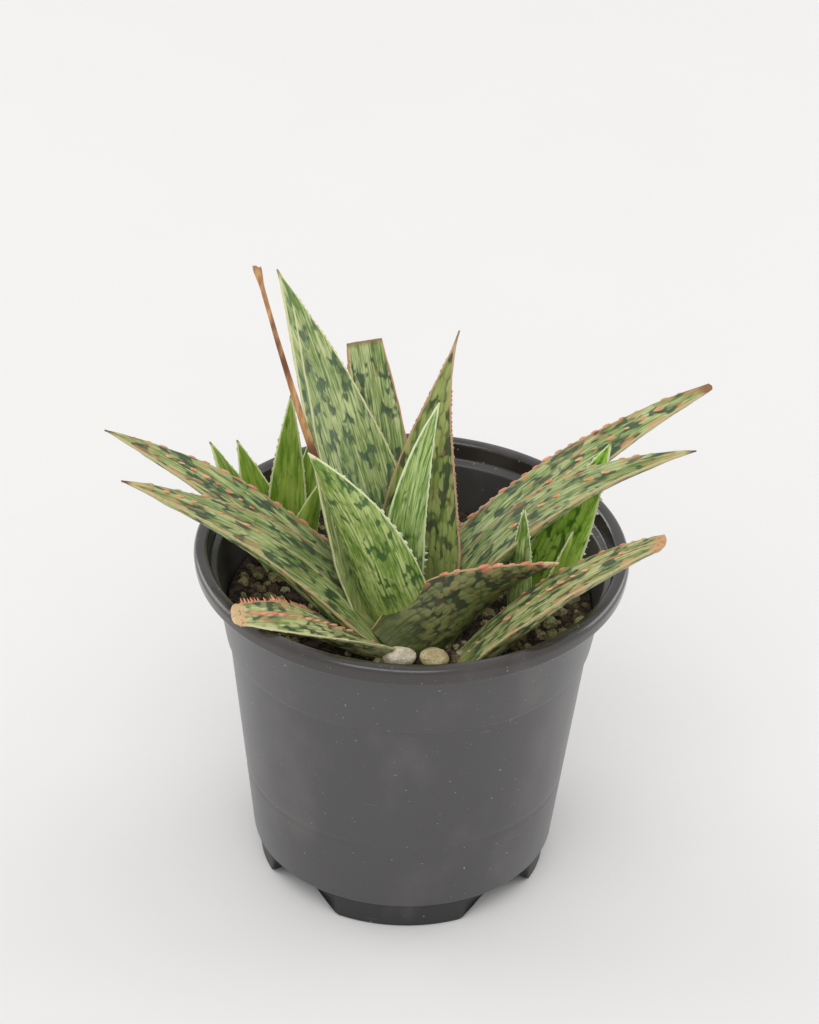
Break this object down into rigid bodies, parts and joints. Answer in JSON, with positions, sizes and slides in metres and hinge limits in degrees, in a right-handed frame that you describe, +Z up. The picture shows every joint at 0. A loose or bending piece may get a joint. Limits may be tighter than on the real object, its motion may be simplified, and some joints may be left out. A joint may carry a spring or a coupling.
{
  "type": "potted aloe",
  "caption": "Potted pink blush aloe: rosette of spotted, toothed leaves with coral edges, two offsets and a dry flower stalk, in a round dark grey nursery pot with soil.",
  "frame": {"origin": "under the middle of the whole object's box, on the surface that the pot stands on", "axes": "+Z up along the pot's axis, -Y towards the viewer of the front, +X to the right"},
  "size_m": [0.1402, 0.102, 0.1585],
  "materials": {
    "pot_plastic": "satin moulded plastic",
    "potting_mix": "matte, granular",
    "stem_skin": "matte",
    "leaf_skin": "satin, waxy",
    "young_leaf_skin": "satin, waxy",
    "dry_stalk": "matte, dry",
    "pumice_white": "matte, porous",
    "pumice_cream": "matte, porous"
  },
  "bodies": {
    "root": {"pot": "pot_plastic", "soil": "potting_mix", "main_stem": "stem_skin", "left_pup_stem": "stem_skin", "right_pup_stem": "stem_skin", "flower_stalk": "dry_stalk", "pebble_white": "pumice_white", "pebble_cream": "pumice_cream", "leaf_front_right": "leaf_skin", "leaf_front_left": "leaf_skin", "leaf_low_right": "leaf_skin", "leaf_front_centre": "leaf_skin", "leaf_left_lower": "leaf_skin", "leaf_right_lower": "leaf_skin", "leaf_centre_right": "leaf_skin", "leaf_tall": "leaf_skin", "leaf_back_right": "leaf_skin", "leaf_left_upper": "leaf_skin", "leaf_right_upper": "leaf_skin", "leaf_rear_cut": "leaf_skin", "left_pup_leaf_1": "young_leaf_skin", "left_pup_leaf_2": "young_leaf_skin", "left_pup_leaf_3": "young_leaf_skin", "left_pup_leaf_4": "young_leaf_skin", "left_pup_leaf_5": "young_leaf_skin", "right_pup_leaf_1": "young_leaf_skin", "right_pup_leaf_2": "young_leaf_skin", "right_pup_leaf_3": "young_leaf_skin"}
  },
  "joints": []
}
